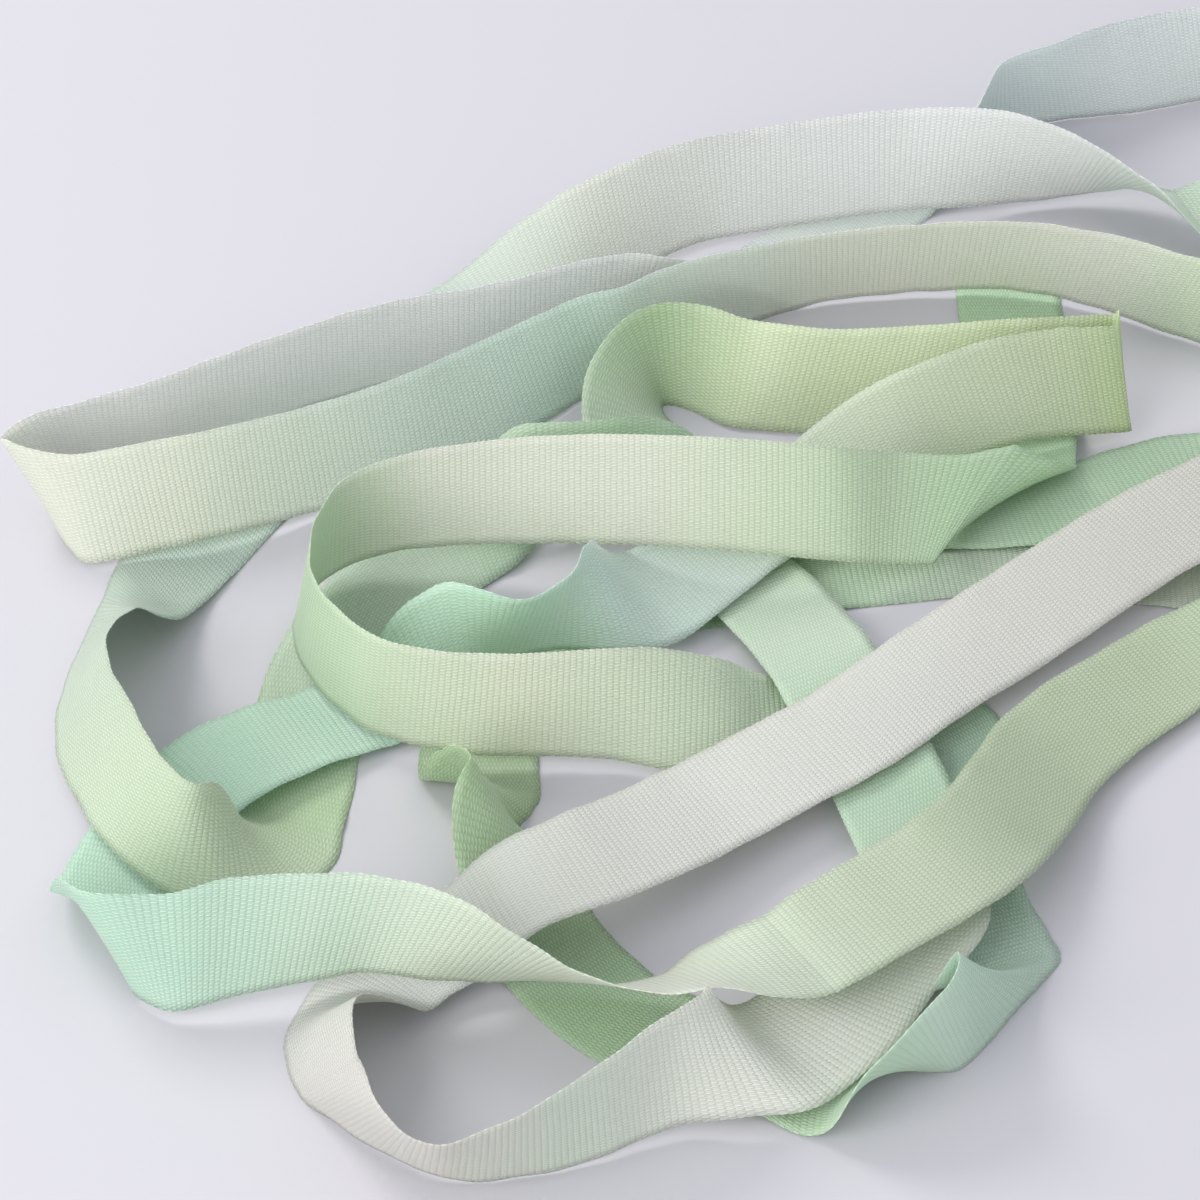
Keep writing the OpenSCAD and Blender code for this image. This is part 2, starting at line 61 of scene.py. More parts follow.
# The ribbon's route, in order from its free end to the wand. Each row is the middle of the
# band in plan (x, y), the height of its lower edge, and the direction across the band as an
# azimuth and an elevation in degrees.
ROUTE = {
    "free_end": [
        (0.158, 0.222, 0, 0, 0), (0.158, 0.18, 0, 0, 0), (0.158, 0.14, 0, 0, 0),
        (0.157, 0.105, 0.002, 0, 0), (0.154, 0.078, 0.006, 5, 0), (0.15, 0.057, 0.008, 18, 0)
    ],
    "middle_loop": [
        (0.143, 0.04, 0.008, 38, 8), (0.128, 0.031, 0.007, 62, 24), (0.105, 0.025, 0.008, 84, 40),
        (0.08, 0.015, 0.014, 90, 58), (0.04, 0.013, 0.019, 90, 64), (0, 0.016, 0.018, 90, 68),
        (-0.04, 0.019, 0.013, 90, 78), (-0.07, 0.015, 0.011, 90, 86), (-0.09, 0.004, 0.01, 0, 86),
        (-0.1, -0.014, 0.009, 340, 80), (-0.102, -0.032, 0.008, 310, 72),
        (-0.097, -0.05, 0.008, 330, 78), (-0.085, -0.067, 0.007, 20, 84),
        (-0.07, -0.078, 0.006, 20, 83), (-0.04, -0.084, 0.005, 60, 80), (0, -0.082, 0.004, 85, 74),
        (0.035, -0.078, 0.002, 87, 40), (0.06, -0.068, 0.001, 90, 4), (0.084, -0.057, 0, 78, 0)
    ],
    "right_curl": [
        (0.106, -0.058, 0, 60, 0), (0.12, -0.076, 0, 30, 0), (0.124, -0.102, 0, 10, 0),
        (0.12, -0.126, 0, 5, -3), (0.117, -0.147, 0, 12, -2), (0.124, -0.172, 0, 25, -6),
        (0.125, -0.19, 0, 34, -14), (0.121, -0.208, 0, 42, -52), (0.107, -0.229, 0, 40, -68),
        (0.089, -0.239, 0, 55, -40), (0.07, -0.235, 0, 80, -4), (0.05, -0.224, 0, 72, -2),
        (0.025, -0.214, 0, 60, 0), (0.008, -0.204, 0, 50, 0), (-0.008, -0.186, 0, 45, 0),
        (-0.02, -0.166, 0, 35, -4), (-0.028, -0.142, 0, 15, -22), (-0.034, -0.122, 0, 8, -66),
        (-0.037, -0.11, 0, 5, -44), (-0.04, -0.097, 0, 0, -4), (-0.04, -0.076, 0, 355, 0),
        (-0.03, -0.05, 0, 340, 0), (-0.012, -0.024, 0, 310, 0), (0.008, -0.005, 0, 295, 0),
        (0.034, 0.004, 0, 280, 0), (0.065, 0.011, 0, 275, 0), (0.1, 0.017, 0, 275, 0),
        (0.14, 0.022, 0, 275, 0), (0.185, 0.018, 0, 268, 0), (0.228, 0.01, 0, 266, 0)
    ],
    "far_loop_front": [
        (0.26, 0.006, 0, 270, -6), (0.288, 0.012, 0, 300, -50), (0.305, 0.034, 0, 345, -85),
        (0.302, 0.06, 0.001, 60, -75), (0.284, 0.076, 0.008, 110, -30), (0.258, 0.067, 0.014, 124, 0)
    ],
    "pale_run": [
        (0.229, 0.043, 0.013, 128, 8), (0.19, 0.015, 0.011, 128, 10), (0.14, -0.03, 0.009, 126, 12),
        (0.113, -0.054, 0.01, 124, 8), (0.084, -0.083, 0.011, 124, 6), (0.06, -0.102, 0.012, 124, 5),
        (0.038, -0.12, 0.013, 122, 5), (0.017, -0.139, 0.017, 120, 5), (-0.005, -0.156, 0.021, 118, 5),
        (-0.025, -0.166, 0.021, 115, 0), (-0.042, -0.174, 0.01, 113, 0),
        (-0.057, -0.183, 0.004, 122, -3), (-0.068, -0.193, 0.001, 135, -8),
        (-0.078, -0.206, 0, 150, -28)
    ],
    "front_loop": [
        (-0.086, -0.222, 0, 160, -52), (-0.082, -0.247, 0, 135, -52), (-0.07, -0.267, 0.001, 115, -52),
        (-0.052, -0.279, 0.001, 100, -58), (-0.036, -0.279, 0, 100, -68), (-0.018, -0.273, 0, 90, -78),
        (0, -0.263, 0.001, 20, -86), (0.02, -0.249, 0.003, 300, -78), (0.038, -0.242, 0.006, 310, -56),
        (0.056, -0.232, 0.008, 325, -20), (0.074, -0.216, 0.013, 338, -12),
        (0.087, -0.196, 0.014, 350, -8), (0.102, -0.172, 0.014, 5, -4)
    ],
    "back_curl": [
        (0.104, -0.145, 0.01, 20, -3), (0.098, -0.114, 0.008, 28, 0), (0.088, -0.078, 0.007, 28, 0),
        (0.076, -0.042, 0.008, 26, 0), (0.06, -0.008, 0.005, 25, 0), (0.046, 0.016, 0.003, 25, 0),
        (0.031, 0.045, 0.001, 22, 0), (0.019, 0.072, 0, 20, 0), (0.012, 0.09, 0, 12, -20),
        (0.012, 0.105, 0, 0, -50), (0.02, 0.117, 0, 310, -72), (0.034, 0.118, 0, 265, -66),
        (0.05, 0.11, 0.001, 250, -56), (0.068, 0.104, 0.001, 240, -62), (0.09, 0.101, 0.001, 235, -64),
        (0.12, 0.099, 0.004, 240, -62), (0.15, 0.099, 0.007, 245, -60),
        (0.176, 0.102, 0.007, 255, -58), (0.189, 0.104, 0.006, 270, -60),
        (0.192, 0.098, 0.006, 290, -62), (0.18, 0.094, 0.007, 300, -64),
        (0.166, 0.09, 0.009, 300, -64), (0.142, 0.081, 0.011, 318, -60), (0.118, 0.07, 0.01, 310, -52),
        (0.096, 0.06, 0.009, 305, -28)
    ],
    "under_loop": [
        (0.074, 0.046, 0.008, 305, -8), (0.053, 0.027, 0.008, 308, -6), (0.034, 0.005, 0.008, 310, -8),
        (0.018, -0.013, 0.006, 312, -20), (0.002, -0.027, 0.004, 316, -64),
        (-0.014, -0.035, 0.003, 130, -76), (-0.034, -0.044, 0.003, 130, -72),
        (-0.054, -0.05, 0.003, 300, -50), (-0.072, -0.058, 0.003, 300, -6),
        (-0.092, -0.07, 0.003, 298, 3), (-0.112, -0.084, 0.007, 300, 0),
        (-0.13, -0.101, 0.008, 308, -2), (-0.145, -0.12, 0.004, 330, 0),
        (-0.153, -0.14, 0.001, 350, -3), (-0.156, -0.16, 0.001, 350, -12)
    ],
    "front_fold": [
        (-0.158, -0.18, 0.002, 320, -38), (-0.151, -0.193, 0.002, 325, -66),
        (-0.133, -0.197, 0.003, 280, -70), (-0.113, -0.194, 0.006, 250, -70),
        (-0.091, -0.193, 0.008, 225, -74), (-0.068, -0.194, 0.01, 180, -74),
        (-0.042, -0.204, 0.012, 150, -62), (-0.014, -0.206, 0.006, 120, -46),
        (0.01, -0.209, 0.005, 110, -40), (0.028, -0.209, 0.009, 115, -36),
        (0.046, -0.208, 0.021, 120, -15), (0.062, -0.203, 0.028, 122, 0),
        (0.08, -0.189, 0.028, 125, 4), (0.1, -0.171, 0.025, 128, 5), (0.116, -0.155, 0.022, 130, 8),
        (0.128, -0.138, 0.018, 132, 10), (0.139, -0.116, 0.012, 132, 12),
        (0.15, -0.093, 0.007, 130, 12), (0.166, -0.072, 0.005, 128, 10),
        (0.184, -0.054, 0.004, 125, 6), (0.202, -0.037, 0.004, 122, 3)
    ],
    "far_loop_middle": [
        (0.226, -0.02, 0.007, 130, 0), (0.24, 0.003, 0.009, 152, 0), (0.241, 0.034, 0.008, 195, 0),
        (0.234, 0.056, 0.006, 240, 0), (0.222, 0.068, 0.005, 272, 0)
    ],
    "behind_loop": [
        (0.205, 0.066, 0.004, 287, 0), (0.178, 0.055, 0.003, 287, 0), (0.15, 0.047, 0.002, 280, 0),
        (0.12, 0.046, 0.002, 272, 0), (0.095, 0.047, 0.003, 270, 0), (0.068, 0.048, 0.005, 270, 0),
        (0.045, 0.048, 0.005, 270, -8), (0.024, 0.046, 0.004, 270, -45),
        (0.002, 0.044, 0.003, 270, -75), (-0.02, 0.04, 0.003, 275, -62),
        (-0.042, 0.03, 0.001, 290, -22), (-0.06, 0.015, 0, 300, -5), (-0.075, -0.002, 0, 312, -8),
        (-0.086, -0.02, 0, 325, -8), (-0.094, -0.04, 0, 345, -2), (-0.098, -0.062, 0, 0, 0)
    ],
    "left_loop": [
        (-0.101, -0.082, 0, 355, 0), (-0.102, -0.098, 0, 345, 0), (-0.104, -0.113, 0, 338, 0),
        (-0.106, -0.128, 0, 322, -10), (-0.116, -0.143, 0, 285, -38),
        (-0.134, -0.147, 0.005, 225, -66), (-0.15, -0.132, 0.007, 185, -60),
        (-0.162, -0.108, 0.006, 180, -56), (-0.172, -0.08, 0.002, 165, -55),
        (-0.174, -0.054, 0.001, 140, -55), (-0.166, -0.024, 0, 115, -36), (-0.156, 0.004, 0, 118, -8),
        (-0.142, 0.033, 0, 125, 0), (-0.128, 0.06, 0, 130, 0), (-0.112, 0.088, 0, 130, 0),
        (-0.092, 0.118, 0, 130, 0), (-0.07, 0.148, 0.001, 125, 0), (-0.046, 0.17, 0.004, 118, 4),
        (-0.022, 0.184, 0.006, 112, 25), (0.004, 0.201, 0.004, 110, 50)
    ],
    "rear_arc": [
        (0.032, 0.219, 0.004, 115, 64), (0.058, 0.23, 0.004, 95, 58), (0.082, 0.237, 0.004, 95, 57),
        (0.107, 0.242, 0.005, 90, 57), (0.128, 0.244, 0.005, 80, 60), (0.155, 0.243, 0.004, 60, 75),
        (0.181, 0.239, 0.003, 300, 72), (0.206, 0.23, 0.006, 285, 40), (0.23, 0.216, 0.011, 285, 6)
    ],
    "far_loop_back": [
        (0.256, 0.203, 0.007, 295, -22), (0.282, 0.191, 0.003, 310, -50),
        (0.3, 0.172, 0.001, 335, -72), (0.3, 0.152, 0, 20, -80), (0.284, 0.138, 0, 100, -80),
        (0.262, 0.135, 0.001, 135, -76), (0.24, 0.142, 0.001, 138, -70)
    ],
    "long_front": [
        (0.216, 0.156, 0.001, 138, -68), (0.193, 0.168, 0.002, 128, -72),
        (0.161, 0.177, 0.003, 110, -74), (0.127, 0.178, 0.002, 95, -75),
        (0.088, 0.173, 0.001, 80, -75), (0.062, 0.164, 0, 70, -79), (0.034, 0.15, 0, 30, -77),
        (0.011, 0.133, 0, 15, -78), (-0.006, 0.122, 0.001, 350, -73), (-0.039, 0.095, 0.001, 315, -67),
        (-0.069, 0.073, 0.001, 300, -73), (-0.101, 0.054, 0.002, 300, -73),
        (-0.133, 0.038, 0.004, 290, -72), (-0.158, 0.03, 0.004, 300, -68),
        (-0.184, 0.026, 0.002, 300, -62), (-0.199, 0.033, 0.001, 325, -58)
    ],
    "long_back": [
        (-0.204, 0.047, 0, 0, -66), (-0.196, 0.061, 0, 60, -76), (-0.178, 0.069, 0, 100, -82),
        (-0.158, 0.077, 0.001, 100, -84), (-0.13, 0.092, 0.003, 100, -85),
        (-0.095, 0.111, 0.004, 100, -85), (-0.07, 0.123, 0.003, 100, -85),
        (-0.042, 0.134, 0.001, 100, -85), (0, 0.155, 0, 110, -82), (0.022, 0.166, 0, 115, -62),
        (0.044, 0.18, 0, 122, -32), (0.063, 0.195, 0, 130, -6), (0.082, 0.213, 0, 135, 0),
        (0.104, 0.236, 0, 135, 0), (0.122, 0.256, 0, 132, -4), (0.141, 0.278, 0, 116, -38),
        (0.164, 0.294, 0, 70, -74), (0.19, 0.305, 0, 30, -75), (0.214, 0.315, 0, 330, -72),
        (0.245, 0.326, 0, 310, -72)
    ],
    "wand_end": [
        (0.282, 0.332, 0, 60, -80), (0.314, 0.328, 0, 30, -80), (0.337, 0.312, 0, 10, -62),
        (0.348, 0.294, 0.001, 0, -28), (0.35, 0.276, 0.006, 0, -4), (0.35, 0.262, 0.01, 0, 0),
        (0.35, 0.249, 0.01, 0, 0), (0.35, 0.236, 0.01, 0, 0)
    ],
}

# The cloth's colour along each run, in even steps: partly the dye as it changes from one dip to the
# next, and partly painted shade and light, darker where a strand folds, curls or lies in shadow and
# lighter where it faces the lamps
DYE_AND_SHADE = {
    "free_end": ["#B2D8A8", "#AFD6A4", "#AAD09E"],
    "middle_loop": ["#A6C896", "#C6D8B2", "#DCE5CA", "#DCE4CC", "#B4CCA6", "#A6C498", "#C4D6B4",
                    "#D8E2C4", "#C8D8B8", "#B4CCAA"],
    "right_curl": ["#A8CDB0", "#A6C8AE", "#B2D0BA", "#C0D8C4", "#A4C898", "#A0C694", "#A6C896",
                   "#A3C088", "#A0BE88", "#94BC8A", "#94BC8A", "#A8C0A0", "#BCC4B0"],
    "far_loop_front": ["#C0C4B4", "#C4C2B6"],
    "pale_run": ["#C8C4BA", "#D6D3CB", "#DAD8D0", "#C8C8BE", "#B8BEB6", "#B6B8AE"],
    "front_loop": ["#C4BFB8", "#C8C3BA", "#C8D2C2", "#DADCD0", "#DCDED0", "#C2CCB6"],
    "back_curl": ["#A8CBA8", "#C8DCC2", "#B0CEA8", "#BCD0B4", "#A0BE86", "#CCD8AC", "#CED8AE",
                  "#B2C488", "#B4C884", "#C4CFA8", "#CAD2B8"],
    "under_loop": ["#C6D6C8", "#C6DAD2", "#B8DCC2", "#BADCC4", "#ACD4BA", "#AAD2B8"],
    "front_fold": ["#A8CEB6", "#B2CEB8", "#D0DAC4", "#DCE2CE", "#BCC8AE", "#BCC8A6", "#A2B48A",
                   "#A6B88A", "#AABC8E"],
    "far_loop_middle": ["#AEC89E", "#A6C8A0"],
    "behind_loop": ["#A5C89F", "#A8CAA2", "#A8C8A0", "#B2C8AC", "#B0C8A6"],
    "left_loop": ["#B2D09A", "#BCCEA8", "#B4C6A2", "#B0C2A8", "#A8C0AE", "#B0CCBA", "#BCCEC0",
                  "#CCD0C2"],
    "rear_arc": ["#E6E2D8", "#ECECE0", "#ECEFE2", "#E0EEDC", "#C4D8C4"],
    "far_loop_back": ["#B4CCB0", "#BAD2B0", "#C4D8B0"],
    "long_front": ["#E2F2CE", "#DAEFCE", "#D4F0D2", "#C4E8CC", "#CEE4CE", "#D8E2C8", "#DAE3CB"],
    "long_back": ["#EEF6E6", "#F6F4E6", "#F2F6E6", "#DEEBD8", "#D0E4D4", "#D0EEE0", "#D6F2E6"],
    "wand_end": ["#DCF4E8", "#DCF2DC", "#D6E8D0"],
}

# How plainly the bare wefts show as thin pale lines across the ribbon, along each run
WEFTS_SHOW = {"pale_run": 1.0, "far_loop_front": 0.7, "rear_arc": 0.6, "long_back": 0.4,
              "front_loop": 0.5, "left_loop": 0.2}

WIDTH = 0.04                # ribbon's width
WEFT = 0.0021               # pitch of the weft ribs along the ribbon
WARP = 0.00062              # pitch of the warp threads across it
REST_LIFT = 0.0005          # height of the lower edge over its stated height
OBLIQUE_MIN = 0.7           # least square share of an oblique cross-section
COLUMNS = 12                # faces across the ribbon
CLOTH_T = 0.0003            # thickness of the cloth
TOOTH_OUT, TOOTH_IN = 0.00016, 0.00012      # how far the selvedges' teeth stand out and in
CUP = 0.0005                # depth to which the cloth cups across its width
FLUTTER = 0.00018           # height of the short waves in its selvedges
RIPPLE = 0.00012            # height of the long ripples that run across it
DYE_LIFT = 1.32             # the cloth's own colour over its colour as it is lit in the pile
PALER = 0.15                # share of undyed white in every dip


def linear(code):
    """An sRGB colour such as "#C8DBB0" as linear red, green and blue."""
    parts = [int(code[i:i + 2], 16) / 255 for i in (1, 3, 5)]
    return [c / 12.92 if c <= 0.04045 else ((c + 0.055) / 1.055) ** 2.4 for c in parts]


# --- Sweep of the ribbon ---------------------------------------------------------------

rows = np.array([row for run in ROUTE.values() for row in run], float)
azimuth, elevation = np.radians(rows[:, 3]), np.radians(rows[:, 4])
across_rows = np.stack([np.cos(elevation) * np.cos(azimuth),
                        np.cos(elevation) * np.sin(azimuth), np.sin(elevation)], 1)
last = len(rows) - 1


def blend(table, s):
    """Smooth curve through the rows of a table, at the stations s."""
    i = np.minimum(np.floor(s).astype(int), last - 1)
    t = (s - i)[:, None]
    padded = np.vstack([2 * table[0] - table[1], table, 2 * table[-1] - table[-2]])
    a, b, c, d = (padded[i + k] for k in range(4))
    return 0.5 * (2 * b + (c - a) * t + (2 * a - 5 * b + 4 * c - d) * t ** 2
                  + (3 * b - a - 3 * c + d) * t ** 3)


def unit(v):
    return v / np.linalg.norm(v, axis=1)[:, None]


def sweep(s):
    """Middle line, direction across, half width and unit normal of the band at the stations s."""
    across = unit(blend(across_rows, s))
    middle = blend(rows[:, :3], s)
    low = np.maximum(middle[:, 2], 0) + REST_LIFT
    middle[:, 2] = low + WIDTH / 2 * np.abs(across[:, 2])
    heading = unit(np.gradient(middle, s, axis=0))
    square = across - (across * heading).sum(1)[:, None] * heading
    half = WIDTH / 2 / np.maximum(np.linalg.norm(square, axis=1), OBLIQUE_MIN)
    middle[:, 2] = low + half * np.abs(across[:, 2])
    return middle, across, half, unit(np.cross(heading, across))


fine = np.linspace(0, last, last * 24 + 1)
fine_middle, _, _, fine_normal = sweep(fine)
travel = np.concatenate([[0], np.cumsum(np.linalg.norm(np.diff(fine_middle, axis=0), axis=1))])
RIBBON_LENGTH = travel[-1]


def at_length(distance):
    """Stations at the given distances along the ribbon."""
    return np.interp(distance, travel, fine)


def dye_and_shade_at(s):
    """Dye colour with its painted shade and light at the stations s, with how plainly the wefts show
    as its fourth value.
    """
    places, colours, start = [], [], 0
    for name, run in ROUTE.items():
        codes = DYE_AND_SHADE[name]
        for k, code in enumerate(codes):
            places.append(start + len(run) * (k + 0.5) / len(codes))
            # Each stop is lifted and paled evenly, so the painted shade and light in it stay
            dip_and_shade = [min(DYE_LIFT * c, 0.93) * (1 - PALER) + 0.92 * PALER for c in linear(code)]
            colours.append(dip_and_shade + [WEFTS_SHOW.get(name, 0.0)])
        start += len(run)
    colours = np.array(colours)
    return np.stack([np.interp(s, places, colours[:, k]) for k in range(4)], 1)


def cloth(name, s, distance, inset=0.0, lift=0.0):
    """A strip of the ribbon's cloth at the stations s, whose selvedges have the wefts' fine teeth."""
    middle, across, half, normal = sweep(s)
    count = len(s)
    u = np.linspace(-1, 1, COLUMNS + 1)
    tooth = np.where(np.arange(count) % 2 == 0, TOOTH_OUT, -TOOTH_IN)
    cup = CUP * np.sin(distance * 11) * np.sin(distance * 4.3 + 1)
    flutter = FLUTTER * (np.sin(distance * 210) + np.sin(distance * 331 + 2))
    points, shaded_dyes, uvs = [], [], []
    # Vertex colour: the dye together with the painted shade and light of the colour table
    dye_and_shade = dye_and_shade_at(s)
    for v in u:
        edge = abs(v) ** 6
        reach = (half - inset + tooth * edge) * v
        rise = lift + cup * (v * v - 0.4) + flutter * edge * v
        rise += RIPPLE * np.sin(distance * 67 + 2.1 * v)
        place = middle + reach[:, None] * across + rise[:, None] * normal + SHIFT
        place[:, 2] = np.maximum(place[:, 2], CLOTH_T)
        points.append(place)
        shaded_dyes.append(dye_and_shade)
        uvs.append(np.stack([np.full(count, v * (WIDTH / 2 - inset)), distance], 1))
    points, shaded_dyes, uvs = (np.stack(x, 1).reshape(count * len(u), -1) for x in (points, shaded_dyes, uvs))
    n = len(u)
    faces = [(i * n + k, i * n + k + 1, (i + 1) * n + k + 1, (i + 1) * n + k)
             for i in range(count - 1) for k in range(n - 1)]
    mesh = bpy.data.meshes.new(name)
    mesh.from_pydata(points.tolist(), [], faces)
    mesh.shade_smooth()
    layer = mesh.color_attributes.new("dye_and_shade", "FLOAT_COLOR", "POINT")
    layer.data.foreach_set("color", shaded_dyes.ravel())
    corners = np.empty(len(mesh.loops), int)
    mesh.loops.foreach_get("vertex_index", corners)
    mesh.uv_layers.new(name="weave").data.foreach_set("uv", uvs[corners].ravel())
    obj = bpy.data.objects.new(name, mesh)
    bpy.context.scene.collection.objects.link(obj)
    solid = obj.modifiers.new("thickness", "SOLIDIFY")
    solid.thickness = CLOTH_T
    solid.offset = 0
    return obj


# --- Materials -------------------------------------------------------------------------

class Graph:
    """Short calls for a material's node tree."""

    def __init__(self, name):
        self.material = bpy.data.materials.new(name)
        self.material.use_nodes = True
        self.tree = self.material.node_tree
        self.shader = self.tree.nodes["Principled BSDF"]

    def node(self, kind, **settings):
        made = self.tree.nodes.new(kind)
        for key, value in settings.items():
            setattr(made, key, value)
        return made

    def put(self, value, socket):
        if isinstance(value, bpy.types.NodeSocket):
            self.tree.links.new(value, socket)
        else:
            socket.default_value = value

    def math(self, operation, *values):
        made = self.node("ShaderNodeMath", operation=operation)
        for value, socket in zip(values, made.inputs):
            self.put(value, socket)
        return made.outputs[0]

    def mix(self, factor, a, b, blend_type="MIX"):
        made = self.node("ShaderNodeMix", data_type="RGBA", blend_type=blend_type)
        self.put(factor, made.inputs[0])
        self.put(a, made.inputs[6])
        self.put(b, made.inputs[7])
        return made.outputs[2]

    def span(self, value, low, high, to_low=0.0, to_high=1.0):
        made = self.node("ShaderNodeMapRange")
        for v, socket in zip((value, low, high, to_low, to_high), made.inputs):
            self.put(v, socket)
        return made.outputs[0]

    def noise(self, scale, detail=3.0, where=None, stretch=None):
        made = self.node("ShaderNodeTexNoise")
        made.inputs["Scale"].default_value = scale
        made.inputs["Detail"].default_value = detail
        if where is None:
            where = self.node("ShaderNodeTexCoord").outputs["Object"]
        if stretch:
            mapping = self.node("ShaderNodeMapping")
            mapping.inputs["Scale"].default_value = stretch
            self.put(where, mapping.inputs[0])
            where = mapping.outputs[0]
        self.put(where, made.inputs["Vector"])
        return made.outputs["Fac"]

    def bump(self, height, distance, strength=1.0):
        made = self.node("ShaderNodeBump")
        made.inputs["Strength"].default_value = strength
        made.inputs["Distance"].default_value = distance
        self.put(height, made.inputs["Height"])
        return made.outputs[0]

    def set(self, **values):
        for key, value in values.items():
            self.put(value, self.shader.inputs[key.replace("_", " ")])
        return self.material


def woven(name):
    """Hand-woven silk: a plain weave of thick wefts over finer warps, dyed unevenly, with painted
    glints on the thread floats, painted shade between the threads, and the painted shade and light of
    the colour table.
    """
    g = Graph(name)
    uv = g.node("ShaderNodeUVMap", uv_map="weave").outputs[0]
    axes = g.node("ShaderNodeSeparateXYZ")
    g.put(uv, axes.inputs[0])
    wander = g.noise(60, 2, uv)
    x = g.math("ADD", axes.outputs[0], g.math("MULTIPLY", wander, 0.0007))
    y = g.math("ADD", axes.outputs[1], g.math("MULTIPLY", g.noise(38, 2, uv), 0.0011))
    warp = g.math("MULTIPLY", x, math.pi / WARP)
    weft = g.math("MULTIPLY", y, math.pi / WEFT)
    # +1 where a warp thread passes over a weft, -1 where it passes under
    over = g.math("MULTIPLY", g.math("SINE", warp), g.math("SINE", weft))
    rib = g.math("ABSOLUTE", g.math("SINE", weft))
    floats = g.span(over, -0.1, 0.45)
    height = g.math("ADD", floats, g.math("MULTIPLY", rib, 0.6))
    slub = g.noise(420, 2, uv, (1, 7, 1))
    # The vertex colour is the dye with painted shade and light in it
    dye_and_shade = g.node("ShaderNodeVertexColor", layer_name="dye_and_shade")
    blotch = g.noise(34, 4)
    colour = g.mix(g.span(blotch, 0.35, 0.7, 0.0, 0.15), dye_and_shade.outputs[0], (0.86, 0.88, 0.80, 1))
    # Painted highlight and shade: the thread floats are mixed a quarter of the way to near-white as
    # glints, and the gaps between threads are darkened as painted shade
    light = g.mix(0.25, colour, (0.97, 0.98, 0.93, 1))
    dark = g.mix(1.0, colour, (0.84, 0.87, 0.84, 1), "MULTIPLY")
    colour = g.mix(floats, dark, light)
    line = g.math("MULTIPLY", g.span(rib, 0.1, 0.6, 0.55, 0.0), dye_and_shade.outputs[1])
    colour = g.mix(line, colour, (0.86, 0.85, 0.80, 1))
    colour = g.mix(g.span(slub, 0.3, 0.7, 0.0, 0.10), colour, (0.95, 0.95, 0.9, 1))
    normal = g.bump(g.math("ADD", height, g.math("MULTIPLY", slub, 0.3)), 0.0003, 0.8)
    g.set(Base_Color=colour, Normal=normal, Roughness=g.span(floats, 0, 1, 0.62, 0.40),
          Sheen_Weight=0.3, Sheen_Roughness=0.4, Specular_IOR_Level=0.5)
    through = g.node("ShaderNodeBsdfTranslucent")
    g.put(colour, through.inputs["Color"])
    g.put(normal, through.inputs["Normal"])
    both = g.node("ShaderNodeMixShader")
    both.inputs[0].default_value = 0.36
    g.tree.links.new(g.shader.outputs[0], both.inputs[1])
    g.tree.links.new(through.outputs[0], both.inputs[2])
    g.tree.links.new(both.outputs[0], g.tree.nodes["Material Output"].inputs["Surface"])
    return g.material


def metal(name, colour, roughness, streaks=(1, 1, 1), wear=0.06):
    """Plated or polished metal with fine tool marks and a slightly uneven finish."""
    g = Graph(name)
    marks = g.noise(900, 3, None, streaks)
    patch = g.noise(120, 3)
    dull = (*(0.72 * c for c in colour), 1)
    tint = g.mix(g.span(patch, 0.35, 0.7, 0.0, 0.35), (*colour, 1), dull)
    return g.set(Base_Color=tint, Metallic=1.0, Normal=g.bump(marks, 0.00004, 0.5),
                 Roughness=g.span(marks, 0.3, 0.7, roughness - wear, roughness + wear))


def plastic(name, colour, roughness, grain, depth, speck=0.12):
    """Moulded plastic or rubber with a fine grain."""
    g = Graph(name)
    fine_grain = g.noise(grain, 3)
    patch = g.noise(45, 3)
    deep = (*(0.6 * c for c in colour), 1)
    tint = g.mix(g.span(patch, 0.35, 0.7, 0.0, speck), (*colour, 1), deep)
    return g.set(Base_Color=tint, Normal=g.bump(fine_grain, depth, 0.6),
                 Roughness=g.span(fine_grain, 0.3, 0.7, roughness - 0.07, roughness + 0.07))


def rod_material():
    """Glass-fibre rod: pale resin with fine fibres along it, worn a little duller in places."""
    g = Graph("rod")
    fibres = g.noise(2400, 3, None, (1, 0.02, 1))
    worn = g.noise(14, 4)
    tint = g.mix(g.span(fibres, 0.4, 0.65, 0.0, 0.4), (0.86, 0.87, 0.82, 1), (0.68, 0.71, 0.64, 1))
    return g.set(Base_Color=tint, Normal=g.bump(fibres, 0.00003, 0.5), Coat_Weight=0.4,
                 Coat_Roughness=0.15, Roughness=g.span(worn, 0.35, 0.7, 0.28, 0.45))


def repaint(node, material):
    mesh = NODES[node].data
    mesh.materials.clear()
    mesh.materials.append(material)


silk = woven("hand_dyed_silk")
brass = metal("nickel_plated_brass", (0.80, 0.79, 0.75), 0.24)
steel = metal("polished_steel", (0.72, 0.73, 0.74), 0.2)
hook_finish = metal("satin_plating", (0.66, 0.67, 0.69), 0.3)
ferrule_finish = metal("anodised_ferrule", (0.74, 0.75, 0.78), 0.34, (0.2, 6, 0.2))
nylon = plastic("nylon", (0.80, 0.78, 0.70), 0.45, 1800, 0.00003)
foam = plastic("soft_grip", (0.30, 0.46, 0.34), 0.82, 1500, 0.00022, 0.35)
cap_finish = plastic("grip_caps", (0.55, 0.62, 0.50), 0.4, 1900, 0.00004)
thread_finish = plastic("thread", (0.80, 0.84, 0.74), 0.7, 3200, 0.00008)

# --- Ribbon ----------------------------------------------------------------------------

